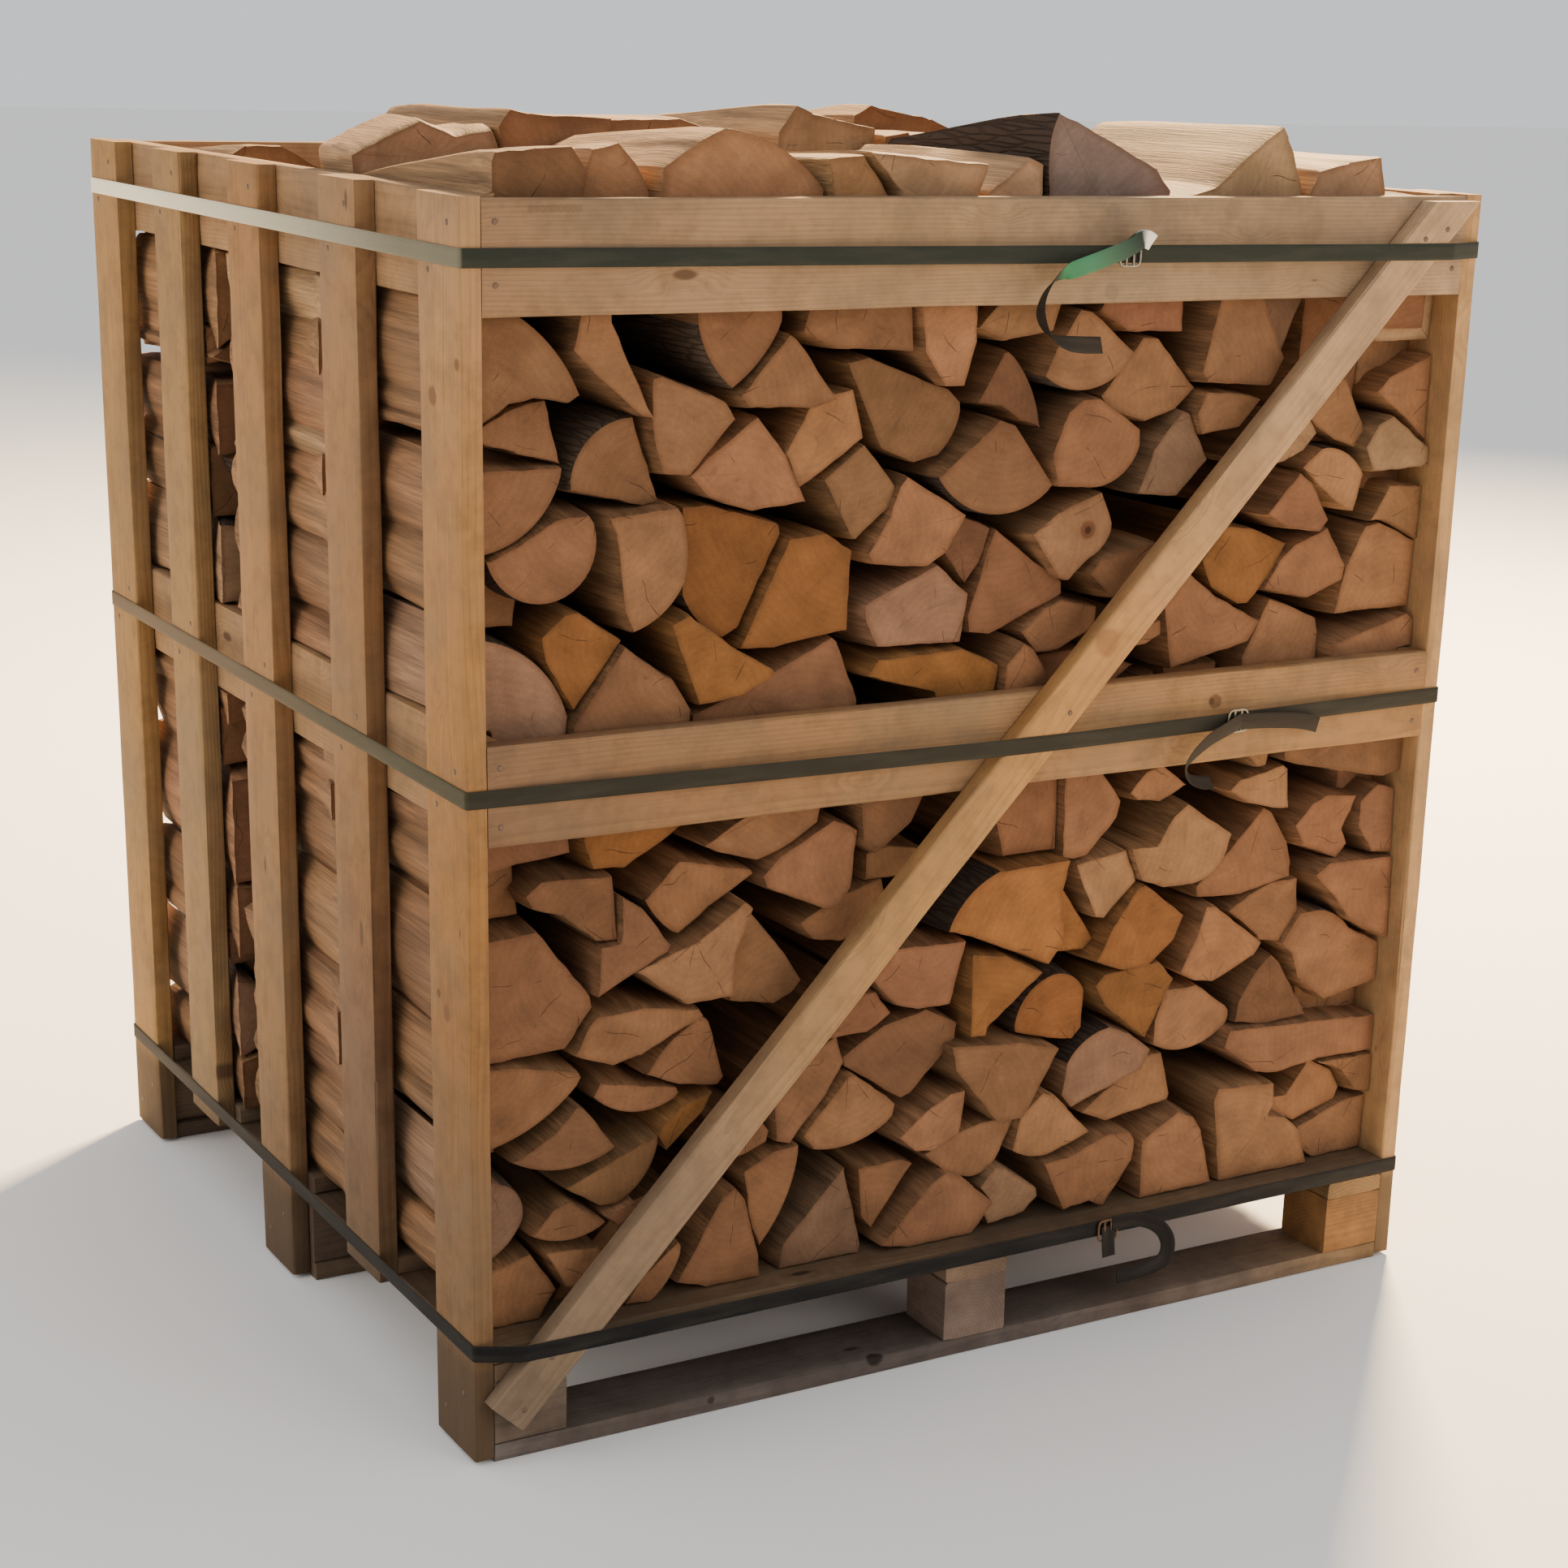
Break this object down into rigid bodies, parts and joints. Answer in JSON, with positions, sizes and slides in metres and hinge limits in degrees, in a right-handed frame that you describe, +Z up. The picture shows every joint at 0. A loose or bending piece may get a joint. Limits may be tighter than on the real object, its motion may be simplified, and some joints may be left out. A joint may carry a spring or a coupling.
{
  "type": "pallet of firewood",
  "caption": "Split logs stacked in rows on a small block pallet, held by slatted sides, rails, a diagonal brace front and back, and buckled straps.",
  "frame": {"origin": "on the ground under the middle of the pallet, on the underside of its middle bottom board", "axes": "+X to the right along the front, +Y from the front, where log ends show, to the back, +Z up; the logs lie along Y"},
  "size_m": [1.2026, 1.1718, 1.328],
  "materials": {
    "sawn_wood": "weathered rough-sawn softwood",
    "pallet_wood": "dirty grey-brown rough-sawn softwood",
    "firewood": "dry sawn and split hardwood, some bark",
    "webbing": "dull green woven polyester cord strap",
    "steel_wire": "dull galvanised wire"
  },
  "bodies": {
    "root": {"block_left_back": "pallet_wood", "block_left_centre": "pallet_wood", "block_left_front": "pallet_wood", "block_middle_back": "pallet_wood", "block_middle_centre": "pallet_wood", "block_middle_front": "pallet_wood", "block_right_back": "pallet_wood", "block_right_centre": "pallet_wood", "block_right_front": "pallet_wood", "bottom_board_back": "pallet_wood", "bottom_board_centre": "pallet_wood", "bottom_board_front": "pallet_wood", "brace_back": "sawn_wood", "brace_front": "sawn_wood", "buckle_bottom": "steel_wire", "buckle_middle": "steel_wire", "buckle_top": "steel_wire", "deck_board_1": "pallet_wood", "deck_board_2": "pallet_wood", "deck_board_3": "pallet_wood", "deck_board_4": "pallet_wood", "deck_board_5": "pallet_wood", "log_top_front_1": "firewood", "log_top_front_2": "firewood", "log_top_front_3": "firewood", "log_top_front_4": "firewood", "log_top_front_5": "firewood", "log_top_front_6": "firewood", "log_top_front_7": "firewood", "log_top_front_8": "firewood", "log_top_front_9": "firewood", "log_top_middle_1": "firewood", "log_top_middle_2": "firewood", "logs_back_row": "firewood", "logs_front_row": "firewood", "logs_middle_row": "firewood", "rail_back_middle": "sawn_wood", "rail_back_top": "sawn_wood", "rail_front_middle": "sawn_wood", "rail_front_top": "sawn_wood", "rail_left_middle": "sawn_wood", "rail_left_top": "sawn_wood", "rail_right_middle": "sawn_wood", "rail_right_top": "sawn_wood", "slat_left_1": "sawn_wood", "slat_left_2": "sawn_wood", "slat_left_3": "sawn_wood", "slat_left_4": "sawn_wood", "slat_left_5": "sawn_wood", "slat_right_1": "sawn_wood", "slat_right_2": "sawn_wood", "slat_right_3": "sawn_wood", "slat_right_4": "sawn_wood", "slat_right_5": "sawn_wood", "strap_bottom": "webbing", "strap_middle": "webbing", "strap_top": "webbing", "stringer_left": "pallet_wood", "stringer_middle": "pallet_wood", "stringer_right": "pallet_wood"}
  },
  "joints": []
}
